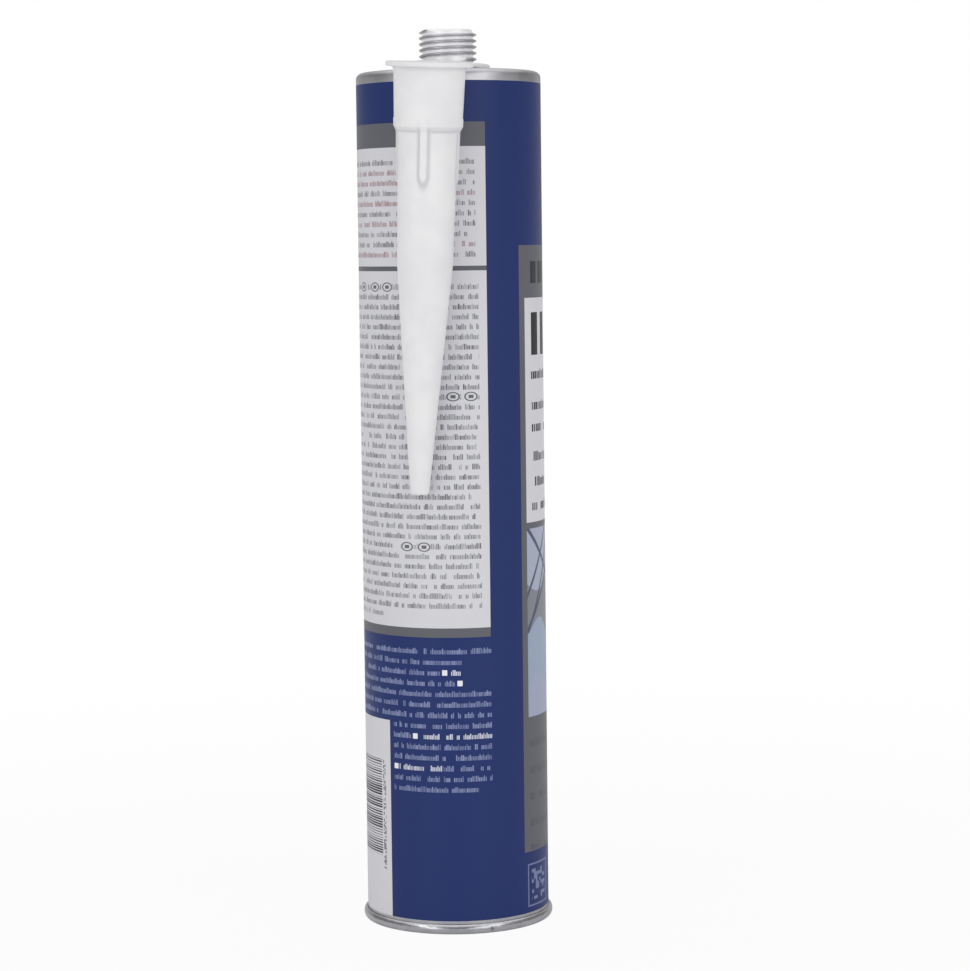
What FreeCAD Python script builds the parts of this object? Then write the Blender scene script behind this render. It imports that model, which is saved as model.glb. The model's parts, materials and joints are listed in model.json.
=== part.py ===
import FreeCAD, Part
import math
import os

import Sketcher

# A printed aluminium caulk tube standing on its rolled rim, with its nozzle hung on the neck.
# The frame is in millimetres: the origin is on the tube's axis at the bottom of the rim,
# +Z runs up to the neck, and the nozzle hangs on the -Y side of the wall.

# Points this close together count as one when edges are picked out, in millimetres
SAME_PLACE = 1e-4
RIB_COUNT = 4

doc = FreeCAD.newDocument("caulk_tube")

# Driving sizes, each with what it measures
DRIVING_SIZES = [
    ("tube_radius", 23.75, "outside radius of the printed wall"),
    ("tube_wall", 0.35, "thickness of the drawn wall and of the rolled rim"),
    ("shoulder_height", 219.5, "height of the shoulder's edge above the rim's foot"),
    ("shoulder_rise", 0.4, "how much higher the shoulder is at the neck"),
    ("shoulder_gauge", 1.2, "thickness of the shoulder"),
    ("shoulder_corner", 1.6, "outside radius between wall and shoulder"),
    ("rim_width", 1.0, "how far the rolled rim stands out from the wall"),
    ("rim_height", 2.6, "height of the rolled rim"),
    ("rim_fold", 0.55, "outside radius of the rim's folds"),
    ("rim_gap", 0.12, "gap between the rim's tucked edge and the wall"),
    ("thread_crest_radius", 7.4, "radius over the neck's thread"),
    ("thread_depth", 0.95, "depth of the thread"),
    ("thread_pitch", 1.55, "rise of the thread in one turn"),
    ("thread_foot", 3.05, "height of the thread's foot above the shoulder's edge"),
    ("thread_travel", 6.1, "rise of the thread from its start to its end"),
    ("tooth_base", 1.3, "height of a thread tooth at its root"),
    ("tooth_land", 0.25, "height of a thread tooth at its crest"),
    ("tooth_root", 0.2, "how deep a tooth is rooted in the neck"),
    ("neck_height", 10.9, "height of the neck above the shoulder's edge"),
    ("neck_wall", 1.25, "thickness of the neck under the thread"),
    ("neck_chamfer", 0.3, "width of the chamfer at the neck's lip"),
    ("neck_chamfer_height", 0.6, "height of that chamfer"),
    ("neck_fillet", 0.8, "radius where the neck grows out of the shoulder"),
    ("membrane_gauge", 0.3, "thickness of the membrane that closes the neck"),
    ("membrane_depth", 0.8, "depth of the membrane below the neck's lip"),
    ("piston_face", 44.0, "height of the piston's pressing face"),
    ("piston_height", 20.0, "length of the piston's skirt"),
    ("piston_gauge", 0.5, "thickness of the pressed piston"),
    ("piston_corner", 1.6, "outside radius between the piston's face and skirt"),
    ("piston_clearance", 0.15, "gap between the piston's skirt and the wall"),
    ("fill_gap", 0.1, "gap kept all round the sealant"),
    ("thread_fit", 0.15, "gap between the neck's thread and the nozzle's socket"),
    ("socket_depth", 12.5, "depth of the nozzle's threaded socket"),
    ("socket_step", 1.4, "length of the cone below the socket"),
    ("collar_wall", 1.3, "thickness of the collar at the flange"),
    ("collar_root", 1.0, "radius between the collar and the flange"),
    ("collar_taper", 0.4, "how much the collar's radius shrinks along it"),
    ("collar_end", 15.6, "distance from the mouth to the collar's end"),
    ("step_width", 0.95, "how far the collar stands out from the barrel"),
    ("step_length", 1.2, "length of the slope under the collar"),
    ("barrel_taper", 0.55, "how much the barrel's radius shrinks down to its waist"),
    ("waist_depth", 49.7, "distance from the mouth to the barrel's waist"),
    ("nozzle_length", 107.4, "distance from the mouth to the tip"),
    ("tip_radius", 2.4, "outside radius at the tip"),
    ("tip_round", 0.3, "rounding of the tip's edge"),
    ("nozzle_wall", 1.2, "thickness of the barrel and the cone"),
    ("flange_lip", 2.0, "how far the flange stands out from the collar"),
    ("plate_gauge", 1.2, "thickness of the flange, the strap and the ring"),
    ("plate_round", 0.4, "rounding of the plate's edges"),
    ("ring_slack", 0.4, "gap between the neck's thread and the ring's hole"),
    ("ring_width", 3.0, "width of the ring round the neck"),
    ("strap_width", 11.0, "width of the strap from the flange to the ring"),
    ("strap_fillet", 3.0, "radius in the corners of the strap"),
    ("bend_radius", 12.0, "inside radius of the bend that brings the strap level"),
    ("bend_gap", 1.223, "length of level strap between that bend and the ring's corners"),
    ("rib_width", 1.45, "width of a rib"),
    ("rib_start", 13.8, "distance from the mouth to the ribs' start on the collar"),
    ("rib_height", 0.4, "how far a rib stands out from the barrel"),
    ("rib_crest", 0.12, "how far a rib stands out from the collar"),
    ("rib_end", 26.4, "distance from the mouth to where a rib begins to fade"),
    ("rib_fade", 3.0, "length over which a rib fades into the barrel"),
    ("hang_tilt", 4.4, "degrees by which the hung nozzle's tip leans to the wall"),
    ("hang_lean", 2.7, "degrees by which it leans sideways"),
    ("wall_gap", 0.3, "gap between the hung nozzle and the wall"),
    ("rest_gap", 0.25, "gap between the strap and the shoulder's edge"),
]

sheet = doc.addObject("Spreadsheet::Sheet", "Sizes")
for row, (alias, size, meaning) in enumerate(DRIVING_SIZES, start=1):
    sheet.set(f"A{row}", meaning)
    sheet.set(f"B{row}", str(size))
    sheet.setAlias(f"B{row}", alias)
doc.recompute()

# Sizes and heights that several pieces share, worked out from the driving ones
inner_radius = "(Sizes.tube_radius - Sizes.tube_wall)"
under_shoulder = "(Sizes.shoulder_height - Sizes.shoulder_gauge)"
rim_radius = "(Sizes.tube_radius + Sizes.rim_width)"
shoulder_flat = "(Sizes.tube_radius - Sizes.shoulder_corner)"
shoulder_crown = "(Sizes.shoulder_height + Sizes.shoulder_rise)"
neck_radius = "(Sizes.thread_crest_radius - Sizes.thread_depth)"
neck_bore = f"({neck_radius} - Sizes.neck_wall)"
neck_top = "(Sizes.shoulder_height + Sizes.neck_height)"
membrane_top = f"({neck_top} - Sizes.membrane_depth)"
socket_radius = "(Sizes.thread_crest_radius + Sizes.thread_fit)"
collar_radius = f"({socket_radius} + Sizes.collar_wall)"
flange_radius = f"({collar_radius} + Sizes.flange_lip)"
ring_hole = "(Sizes.thread_crest_radius + Sizes.ring_slack)"
ring_radius = f"({ring_hole} + Sizes.ring_width)"

# The nozzle's radii below its collar
collar_foot = f"({collar_radius} - Sizes.collar_taper)"
barrel = f"({collar_foot} - Sizes.step_width)"
waist = f"({barrel} - Sizes.barrel_taper)"

# The ring's centre lies this far from the nozzle's axis, so that both the waist and the tip of
# the hung nozzle clear the wall
sine_tilt = "sin(Sizes.hang_tilt * 1 deg)"
cosine_tilt = "cos(Sizes.hang_tilt * 1 deg)"
sine_lean = "sin(Sizes.hang_lean * 1 deg)"
cosine_lean = "cos(Sizes.hang_lean * 1 deg)"
wall_face = "Sizes.tube_radius + Sizes.wall_gap"
waist_reach = f"({wall_face} + {waist} + Sizes.waist_depth * {sine_tilt}) / {cosine_tilt}"
tip_reach = f"({wall_face} + Sizes.tip_radius + Sizes.nozzle_length * {sine_tilt}) / {cosine_tilt}"
hang_reach = f"max({waist_reach}; {tip_reach})"

# Past its bend the strap runs level to the ring, in the nozzle's own frame: where the bend's
# centre and the ring's two faces lie
outer_bend = "(Sizes.bend_radius + Sizes.plate_gauge)"
corner_side = "(Sizes.strap_width / 2 + Sizes.strap_fillet)"
ring_corner = f"sqrt(({ring_radius} + Sizes.strap_fillet)^2 - {corner_side}^2)"
bend_run = "Sizes.bend_radius * Sizes.hang_tilt * pi / 180"
strap_bend = f"({hang_reach} - {ring_corner} - Sizes.bend_gap - {bend_run})"
level_run = f"(({hang_reach} - {strap_bend}) * {cosine_tilt} - Sizes.bend_radius * {sine_tilt})"
under_ring_y = f"({strap_bend} + Sizes.bend_radius * {sine_tilt} + {level_run} * {cosine_tilt})"
under_ring_z = (
    f"({outer_bend} - Sizes.bend_radius * {cosine_tilt} + {level_run} * {sine_tilt})"
)
ring_face_y = f"({under_ring_y} + Sizes.plate_gauge * {sine_tilt})"
ring_face_z = f"({under_ring_z} - Sizes.plate_gauge * {cosine_tilt})"


def value(expression):
    return float(sheet.evalExpression(expression))


def origin_part(body, role):
    return next(part for part in body.Origin.OriginFeatures if part.Role == role)


def new_sketch(body, name, plane):
    sketch = body.newObject("Sketcher::SketchObject", name)
    sketch.AttachmentSupport = [(origin_part(body, plane), "")]
    sketch.MapMode = "FlatFace"
    return sketch


def place_point(sketch, geometry, end, x, y=None):
    """Ties one point of a sketch to expressions from the sketch's origin, or leaves its y free."""
    for axis, kind, expression in ((-2, "DistanceX", x), (-1, "DistanceY", y)):
        if expression is None:
            continue
        if expression == "0":
            sketch.addConstraint(Sketcher.Constraint("PointOnObject", geometry, end, axis))
        else:
            number = sketch.addConstraint(
                Sketcher.Constraint(kind, -1, 1, geometry, end, value(expression))
            )
            sketch.setExpression(f"Constraints[{number}]", expression)


def draw_outline(body, name, plane, corners):
    """A closed sketch through corners of (x, y) or (x, y, bend).

    A bend rounds the edge to the next corner: "from_level" leaves this corner along X,
    "from_upright" leaves it along Y.
    """
    sketch = new_sketch(body, name, plane)
    places = [FreeCAD.Vector(value(corner[0]), value(corner[1]), 0) for corner in corners]
    starts, finishes, centres = [], [], []
    for index, corner in enumerate(corners):
        here, there = places[index], places[(index + 1) % len(corners)]
        if len(corner) == 2:
            geometry = sketch.addGeometry(Part.LineSegment(here, there), False)
            starts.append((geometry, 1))
            finishes.append((geometry, 2))
            continue
        level = corner[2] == "from_level"
        centre = FreeCAD.Vector(here.x, there.y, 0) if level else FreeCAD.Vector(there.x, here.y, 0)
        spoke_here, spoke_there = here - centre, there - centre
        circle = Part.Circle(centre, FreeCAD.Vector(0, 0, 1), spoke_here.Length)
        angle_here = math.atan2(spoke_here.y, spoke_here.x)
        angle_there = math.atan2(spoke_there.y, spoke_there.x)
        leftward = spoke_here.cross(spoke_there).z > 0
        first, last = (angle_here, angle_there) if leftward else (angle_there, angle_here)
        geometry = sketch.addGeometry(Part.ArcOfCircle(circle, first, last), False)
        starts.append((geometry, 1 if leftward else 2))
        finishes.append((geometry, 2 if leftward else 1))
        centres.append((geometry, "Vertical" if level else "Horizontal", starts[-1][1]))
    for index, corner in enumerate(corners):
        sketch.addConstraint(Sketcher.Constraint("Coincident", *finishes[index - 1], *starts[index]))
    for index, corner in enumerate(corners):
        place_point(sketch, *starts[index], corner[0], corner[1])
    for geometry, alignment, end in centres:
        sketch.addConstraint(Sketcher.Constraint(alignment, geometry, 3, geometry, end))
    if sketch.solve() != 0:
        raise RuntimeError(f"the outline {name} doesn't solve")
    return sketch


def draw_bent_strap(body, name, start, end):
    """The strap from the side: straight from start to its bend, then level for the length end."""
    sketch = new_sketch(body, name, "YZ_Plane")
    bend_y, under_bend_y = strap_bend, f"{strap_bend} + Sizes.bend_radius * {sine_tilt}"
    face_bend_y = f"{strap_bend} + {outer_bend} * {sine_tilt}"
    face_bend_z = f"{outer_bend} - {outer_bend} * {cosine_tilt}"
    under_bend_z = f"{outer_bend} - Sizes.bend_radius * {cosine_tilt}"
    along, down = f"{end} * {cosine_tilt}", f"{end} * {sine_tilt}"
    corners = [
        (start, "0"),
        (bend_y, "0"),
        (face_bend_y, face_bend_z),
        (f"{face_bend_y} + {along}", f"{face_bend_z} + {down}"),
        (f"{under_bend_y} + {along}", f"{under_bend_z} + {down}"),
        (under_bend_y, under_bend_z),
        (bend_y, "Sizes.plate_gauge"),
        (start, "Sizes.plate_gauge"),
    ]
    face_bend, under_bend = 1, 5
    places = [FreeCAD.Vector(value(y), value(z), 0) for y, z in corners]
    centre = FreeCAD.Vector(value(bend_y), value(outer_bend), 0)
    lowest = -math.pi / 2
    turned = lowest + math.radians(value("Sizes.hang_tilt"))
    starts, finishes = [], []
    for index, here in enumerate(places):
        there = places[(index + 1) % len(places)]
        backwards = index == under_bend
        if index in (face_bend, under_bend):
            circle = Part.Circle(centre, FreeCAD.Vector(0, 0, 1), (here - centre).Length)
            geometry = sketch.addGeometry(Part.ArcOfCircle(circle, lowest, turned), False)
            place_point(sketch, geometry, 3, bend_y, outer_bend)
        else:
            geometry = sketch.addGeometry(Part.LineSegment(here, there), False)
        starts.append((geometry, 2 if backwards else 1))
        finishes.append((geometry, 1 if backwards else 2))
    for index, (y, z) in enumerate(corners):
        sketch.addConstraint(Sketcher.Constraint("Coincident", *finishes[index - 1], *starts[index]))
        on_turned_end = index in (face_bend + 1, under_bend)
        place_point(sketch, *starts[index], y, None if on_turned_end else z)
    if sketch.solve() != 0:
        raise RuntimeError(f"the outline {name} doesn't solve")
    return sketch


def draw_circle(body, name, plane, x, y, radius):
    sketch = new_sketch(body, name, plane)
    centre = FreeCAD.Vector(value(x), value(y), 0)
    geometry = sketch.addGeometry(
        Part.Circle(centre, FreeCAD.Vector(0, 0, 1), value(radius)), False
    )
    place_point(sketch, geometry, 3, x, y)
    number = sketch.addConstraint(Sketcher.Constraint("Radius", geometry, value(radius)))
    sketch.setExpression(f"Constraints[{number}]", radius)
    return sketch


def add_turned(body, name, sketch):
    turned = body.newObject("PartDesign::Revolution", name)
    turned.Profile = sketch
    turned.ReferenceAxis = (sketch, ["V_Axis"])
    turned.Angle = 360
    doc.recompute()
    return turned


def add_pad(body, name, sketch, length):
    pad = body.newObject("PartDesign::Pad", name)
    pad.Profile = sketch
    pad.Length = value(length)
    pad.setExpression("Length", length)
    doc.recompute()
    return pad


def add_fillet(body, name, radius, chosen):
    """Rounds the edges of the body so far for which chosen(edge) is true."""
    base = body.Tip
    names = [
        f"Edge{number}" for number, edge in enumerate(base.Shape.Edges, start=1) if chosen(edge)
    ]
    fillet = body.newObject("PartDesign::Fillet", name)
    fillet.Base = (base, names)
    fillet.Radius = value(radius)
    fillet.setExpression("Radius", radius)
    doc.recompute()
    return fillet


def new_body(label):
    body = doc.addObject("PartDesign::Body", label)
    body.Label = label
    return body


def make_cartridge():
    """One slug of aluminium, drawn into the wall, the shoulder and the neck, with the foot rolled."""
    body = new_body("cartridge")
    inner_fold = "(Sizes.rim_fold - Sizes.tube_wall)"
    fold_inside = "(Sizes.tube_radius + Sizes.rim_fold - Sizes.tube_wall)"
    fold_outside = f"({rim_radius} - Sizes.rim_fold)"
    tucked_edge = "Sizes.tube_radius + Sizes.rim_gap"
    roll_inside = f"{rim_radius} - Sizes.tube_wall"
    under_roll = "Sizes.rim_height - Sizes.tube_wall"
    neck_foot = f"{neck_radius} + Sizes.neck_fillet"
    section = draw_outline(body, "CartridgeSection", "XZ_Plane", [
        ("0", membrane_top),
        (neck_bore, membrane_top),
        (neck_bore, neck_top),
        (f"{neck_radius} - Sizes.neck_chamfer", neck_top),
        (neck_radius, f"{neck_top} - Sizes.neck_chamfer_height"),
        (neck_radius, f"{shoulder_crown} + Sizes.neck_fillet", "from_upright"),
        (neck_foot, shoulder_crown),
        (shoulder_flat, "Sizes.shoulder_height", "from_level"),
        ("Sizes.tube_radius", "Sizes.shoulder_height - Sizes.shoulder_corner"),
        ("Sizes.tube_radius", "Sizes.rim_fold", "from_upright"),
        (fold_inside, "Sizes.tube_wall"),
        (fold_outside, "Sizes.tube_wall", "from_level"),
        (roll_inside, "Sizes.rim_fold"),
        (roll_inside, f"{under_roll} - {inner_fold}", "from_upright"),
        (fold_outside, under_roll),
        (tucked_edge, under_roll),
        (tucked_edge, "Sizes.rim_height"),
        (fold_outside, "Sizes.rim_height", "from_level"),
        (rim_radius, "Sizes.rim_height - Sizes.rim_fold"),
        (rim_radius, "Sizes.rim_fold", "from_upright"),
        (fold_outside, "0"),
        (fold_inside, "0", "from_level"),
        (inner_radius, "Sizes.rim_fold"),
        (inner_radius, f"{under_shoulder} - Sizes.shoulder_corner + Sizes.tube_wall", "from_upright"),
        (shoulder_flat, under_shoulder),
        (neck_bore, f"{under_shoulder} + Sizes.shoulder_rise"),
        (neck_bore, f"{membrane_top} - Sizes.membrane_gauge"),
        ("0", f"{membrane_top} - Sizes.membrane_gauge"),
    ])
    add_turned(body, "DrawnShell", section)

    tooth_foot = "(Sizes.shoulder_height + Sizes.thread_foot)"
    tooth_slope = "(Sizes.tooth_base - Sizes.tooth_land) / 2"
    root = f"{neck_radius} - Sizes.tooth_root"
    tooth = draw_outline(body, "ThreadTooth", "XZ_Plane", [
        (root, tooth_foot),
        ("Sizes.thread_crest_radius", f"{tooth_foot} + {tooth_slope}"),
        ("Sizes.thread_crest_radius", f"{tooth_foot} + {tooth_slope} + Sizes.tooth_land"),
        (root, f"{tooth_foot} + Sizes.tooth_base"),
    ])
    thread = body.newObject("PartDesign::AdditiveHelix", "RolledThread")
    thread.Profile = tooth
    thread.ReferenceAxis = (tooth, ["V_Axis"])
    thread.Mode = "pitch-height-angle"
    thread.LeftHanded = False
    for name, expression in (("Pitch", "Sizes.thread_pitch"), ("Height", "Sizes.thread_travel")):
        setattr(thread, name, value(expression))
        thread.setExpression(name, expression)
    doc.recompute()
    return body


def make_piston():
    """A cup pressed from aluminium sheet, open to the rear, that follows the sealant up the tube."""
    body = new_body("piston")
    skirt = f"({inner_radius} - Sizes.piston_clearance)"
    inside = f"({skirt} - Sizes.piston_gauge)"
    corner = f"{skirt} - Sizes.piston_corner"
    below_corner = "Sizes.piston_face - Sizes.piston_corner"
    open_end = "Sizes.piston_face - Sizes.piston_height"
    section = draw_outline(body, "PistonSection", "XZ_Plane", [
        ("0", "Sizes.piston_face"),
        (corner, "Sizes.piston_face", "from_level"),
        (skirt, below_corner),
        (skirt, open_end),
        (inside, open_end),
        (inside, below_corner, "from_upright"),
        (corner, "Sizes.piston_face - Sizes.piston_gauge"),
        ("0", "Sizes.piston_face - Sizes.piston_gauge"),
    ])
    add_turned(body, "PressedCup", section)
    return body


def make_sealant():
    """The paste between the piston and the membrane."""
    body = new_body("sealant")
    rind = f"({inner_radius} - Sizes.fill_gap)"
    top = f"({under_shoulder} - Sizes.fill_gap)"
    core = f"({neck_bore} - Sizes.fill_gap)"
    core_top = f"{membrane_top} - Sizes.membrane_gauge - Sizes.fill_gap"
    section = draw_outline(body, "SealantSection", "XZ_Plane", [
        ("0", "Sizes.piston_face + Sizes.fill_gap"),
        (rind, "Sizes.piston_face + Sizes.fill_gap"),
        (rind, f"{top} - Sizes.shoulder_corner + Sizes.tube_wall", "from_upright"),
        (f"{rind} - Sizes.shoulder_corner + Sizes.tube_wall", top),
        (core, f"{top} + Sizes.shoulder_rise"),
        (core, core_top),
        ("0", core_top),
    ])
    add_turned(body, "PasteFill", section)
    return body


def make_nozzle():
    """One plastic moulding: the tapered nozzle, its flange and the ring that hangs it on the neck.

    It is drawn standing on its mouth, with its own +Z towards the tip and the ring on its +Y side.
    """
    body = new_body("nozzle")
    below_step = "(Sizes.collar_end + Sizes.step_length)"
    section = draw_outline(body, "NozzleSection", "XZ_Plane", [
        (socket_radius, "0"),
        (flange_radius, "0"),
        (flange_radius, "Sizes.plate_gauge"),
        (f"{collar_radius} + Sizes.collar_root", "Sizes.plate_gauge", "from_level"),
        (collar_radius, "Sizes.plate_gauge + Sizes.collar_root"),
        (collar_foot, "Sizes.collar_end"),
        (barrel, below_step),
        (waist, "Sizes.waist_depth"),
        ("Sizes.tip_radius", "Sizes.nozzle_length - Sizes.tip_round", "from_upright"),
        ("Sizes.tip_radius - Sizes.tip_round", "Sizes.nozzle_length"),
        ("Sizes.tip_radius - Sizes.nozzle_wall", "Sizes.nozzle_length"),
        (f"{waist} - Sizes.nozzle_wall", "Sizes.waist_depth"),
        (f"{barrel} - Sizes.nozzle_wall", "Sizes.socket_depth + Sizes.socket_step"),
        (socket_radius, "Sizes.socket_depth"),
    ])
    add_turned(body, "NozzleTube", section)

    half_strap = "Sizes.strap_width / 2"
    side_view = draw_bent_strap(body, "StrapSide", collar_radius, f"({level_run} - {ring_hole})")
    strap = add_pad(body, "Strap", side_view, "Sizes.strap_width")
    strap.Midplane = True
    doc.recompute()

    ring = draw_circle(body, "RingOutline", "XY_Plane", "0", "0", ring_radius)
    hole = draw_circle(body, "RingHoleOutline", "XY_Plane", "0", "0", ring_hole)
    for sketch in (ring, hole):
        ring_face = f"vector(0; {ring_face_y}; {ring_face_z})"
        sketch.setExpression(
            "AttachmentOffset", f"placement({ring_face}; rotation(0; 0; Sizes.hang_tilt))"
        )
    doc.recompute()
    add_pad(body, "Ring", ring, "Sizes.plate_gauge")
    cut = body.newObject("PartDesign::Pocket", "RingHole")
    cut.Profile = hole
    cut.Type = "ThroughAll"
    cut.Midplane = True
    doc.recompute()

    gauge = value("Sizes.plate_gauge")
    half_width = value(half_strap)
    rim = value(flange_radius)
    ring_edge = value(ring_radius)
    bend_centre = FreeCAD.Vector(0, value(strap_bend), value(outer_bend))
    ring_centre = FreeCAD.Vector(0, value(ring_face_y), value(ring_face_z))
    tilt = math.radians(value("Sizes.hang_tilt"))
    through_ring = FreeCAD.Vector(0, -math.sin(tilt), math.cos(tilt))

    def plate_depth(point):
        """How deep a point lies below the plate's face, as the strap bends."""
        from_bend = point - bend_centre
        if from_bend.y < 0:
            return point.z
        if from_bend.y < -from_bend.z * math.tan(tilt):
            return value(outer_bend) - math.hypot(from_bend.y, from_bend.z)
        return (point - ring_centre).dot(through_ring)

    def strap_corner(edge):
        ends = [vertex.Point for vertex in edge.Vertexes]
        return (
            len(ends) == 2
            and abs(edge.Length - gauge) < SAME_PLACE
            and abs(abs(plate_depth(ends[0]) - plate_depth(ends[1])) - gauge) < SAME_PLACE
            and all(abs(abs(end.x) - half_width) < SAME_PLACE for end in ends)
        )

    add_fillet(body, "StrapCorners", "Sizes.strap_fillet", strap_corner)

    def plate_edge(edge):
        middle = edge.valueAt((edge.FirstParameter + edge.LastParameter) / 2)
        points = [vertex.Point for vertex in edge.Vertexes] + [middle]
        depths = [plate_depth(point) for point in points]
        on_face = all(abs(depth) < SAME_PLACE for depth in depths)
        on_underside = all(abs(depth - gauge) < SAME_PLACE for depth in depths)
        across_strap = abs(edge.BoundBox.XLength - 2 * half_width) < SAME_PLACE
        from_ring = middle - ring_centre
        out_of_ring = (from_ring - through_ring * from_ring.dot(through_ring)).Length
        past_flange = math.hypot(middle.x, middle.y) > rim - SAME_PLACE
        past_ring = out_of_ring > ring_edge - SAME_PLACE
        return (on_face or on_underside) and past_flange and past_ring and not across_strap

    add_fillet(body, "PlateEdges", "Sizes.plate_round", plate_edge)

    wall_middle = f"{barrel} - Sizes.nozzle_wall / 2"
    rib_top = f"{barrel} + Sizes.rib_height"
    rib = draw_outline(body, "RibOutline", "YZ_Plane", [
        (wall_middle, "Sizes.rib_start"),
        (f"{collar_foot} + Sizes.rib_crest", "Sizes.rib_start"),
        (f"{collar_foot} + Sizes.rib_crest", "Sizes.collar_end"),
        (rib_top, below_step),
        (f"{rib_top} - Sizes.rib_crest", "Sizes.rib_end"),
        (wall_middle, "Sizes.rib_end + Sizes.rib_fade"),
    ])
    first_rib = add_pad(body, "Rib", rib, "Sizes.rib_width")
    first_rib.Midplane = True
    doc.recompute()
    ribs = body.newObject("PartDesign::PolarPattern", "Ribs")
    ribs.Originals = [first_rib]
    ribs.Axis = (origin_part(body, "Z_Axis"), [""])
    ribs.Angle = 360
    ribs.Occurrences = RIB_COUNT
    body.Tip = ribs
    doc.recompute()

    # Hung upside down: the strap's straight part, carried on to the tube's axis, crosses it at
    # hang_level, which clears the shoulder's edge. The ring is centred on the axis below that.
    edge_drop = f"{shoulder_flat} * {sine_tilt} / {cosine_tilt}"
    side_drop = f"{half_strap} * {sine_lean} / {cosine_lean}"
    hang_level = f"(Sizes.shoulder_height + {edge_drop} + {side_drop} + Sizes.rest_gap)"
    along = f"({hang_reach} * {sine_tilt} - Sizes.plate_gauge * {cosine_tilt})"
    across = f"({hang_reach} * {cosine_tilt} + Sizes.plate_gauge * {sine_tilt})"
    base = f"vector(-{along} * {sine_lean}; -{across}; {hang_level} - {along} * {cosine_lean})"
    turn = "rotation(0; 180 + Sizes.hang_lean; -Sizes.hang_tilt)"
    body.setExpression("Placement", f"placement({base}; {turn})")
    doc.recompute()
    return body


pieces = [make_cartridge(), make_piston(), make_sealant(), make_nozzle()]
doc.recompute()

# Nothing is written unless every feature and every piece came out whole
for thing in doc.Objects:
    if "Invalid" in thing.State or "Error" in thing.State:
        raise RuntimeError(f"{thing.Label} failed: {thing.State}")
for piece in pieces:
    if piece.Shape.isNull() or not piece.Shape.isValid() or len(piece.Shape.Solids) != 1:
        raise RuntimeError(f"{piece.Label} isn't one valid solid")

os.makedirs("parts", exist_ok=True)
for piece in pieces:
    piece.Shape.exportStep(os.path.join("parts", f"{piece.Label}.step"))
    print(piece.Label, "volume", round(piece.Shape.Volume, 1), "mm3")
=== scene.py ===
import json
import math
from functools import reduce

import bmesh
import bpy
from mathutils import Matrix, Vector


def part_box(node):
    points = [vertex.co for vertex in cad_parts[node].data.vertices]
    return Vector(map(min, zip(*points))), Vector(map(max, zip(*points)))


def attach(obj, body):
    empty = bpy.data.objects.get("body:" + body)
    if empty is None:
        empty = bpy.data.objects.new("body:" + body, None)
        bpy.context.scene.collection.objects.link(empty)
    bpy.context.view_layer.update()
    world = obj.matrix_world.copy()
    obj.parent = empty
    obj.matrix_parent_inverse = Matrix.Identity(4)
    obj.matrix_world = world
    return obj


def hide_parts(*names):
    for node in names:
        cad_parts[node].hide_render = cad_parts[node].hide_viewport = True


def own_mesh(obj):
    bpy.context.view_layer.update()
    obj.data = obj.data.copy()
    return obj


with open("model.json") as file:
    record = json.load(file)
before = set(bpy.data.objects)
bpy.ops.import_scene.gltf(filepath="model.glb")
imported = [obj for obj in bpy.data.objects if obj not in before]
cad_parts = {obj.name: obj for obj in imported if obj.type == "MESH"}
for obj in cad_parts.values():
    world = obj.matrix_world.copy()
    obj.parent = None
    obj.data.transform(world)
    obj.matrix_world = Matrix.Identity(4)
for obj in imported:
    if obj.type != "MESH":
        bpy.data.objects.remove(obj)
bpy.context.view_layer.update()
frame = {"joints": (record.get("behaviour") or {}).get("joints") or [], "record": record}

MM = 0.001

# The cartridge's form.
# One slug of aluminium is drawn into the wall, the shoulder and the neck, and its foot is rolled
# outwards into a rim. The sheet is 0.35 mm thick in the wall and 1.2 mm in the shoulder.
rim_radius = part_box("cartridge")[1].x
neck_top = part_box("cartridge")[1].z
wall_radius = rim_radius - 1.0 * MM
wall_gauge = 0.35 * MM
rim_height = 2.6 * MM
rim_fold = 0.5 * MM
rim_gap = 0.12 * MM
shoulder_edge = neck_top - 10.9 * MM
shoulder_gauge = 1.2 * MM
shoulder_corner = 1.6 * MM
shoulder_crown = shoulder_edge + 0.4 * MM
neck_radius = 6.45 * MM
neck_bore = 5.2 * MM
neck_fillet = 0.8 * MM
neck_chamfer = 0.3 * MM
neck_chamfer_height = 0.6 * MM
membrane_top = neck_top - 0.8 * MM
membrane_gauge = 0.3 * MM
enamel_foot = 3.3 * MM
enamel_top = 216.4 * MM
BARE, ENAMEL = 0, 1
SHELL_COLUMNS = 256


def bend(centre, radius, start, end, steps):
    """Points of (radius, height) along an arc of an outline, its angles in degrees."""
    turns = [math.radians(start + (end - start) * step / steps) for step in range(steps + 1)]
    return [(centre[0] + radius * math.cos(t), centre[1] + radius * math.sin(t)) for t in turns]


def bead(centre, reach, half_height, start, end, steps):
    """Points of (radius, height) along an oval stretch of an outline."""
    return [
        (centre[0] + reach * (r - centre[0]), centre[1] + half_height * (z - centre[1]))
        for r, z in bend(centre, 1.0, start, end, steps)
    ]


def run(start, end, steps):
    """Points of (radius, height) along a straight stretch of an outline, without its last one."""
    shares = [step / steps for step in range(steps)]
    return [tuple(a + (b - a) * share for a, b in zip(start, end)) for share in shares]


def ring(radius, height, columns):
    """One turn of points about the piece's own axis, or its pole."""
    if radius == 0:
        return [Vector((0, 0, height))]
    turns = [2 * math.pi * column / columns for column in range(columns)]
    return [Vector((radius * math.cos(t), radius * math.sin(t), height)) for t in turns]


def stretch(mesh, rings, finish_of=lambda low, high: 0):
    """Lays faces from each ring of points to the next, and returns the rings as vertices."""
    laid = [[mesh.verts.new(point) for point in points] for points in rings]
    for here, there in zip(laid, laid[1:]):
        count = max(len(here), len(there))
        finish = finish_of(here[0].co, there[0].co)
        for column in range(count):
            after = (column + 1) % count
            corners = [here[column % len(here)], here[after % len(here)]]
            corners += [there[after % len(there)], there[column % len(there)]]
            face = mesh.faces.new(list(dict.fromkeys(corners)))
            face.material_index = finish
    return laid


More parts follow.
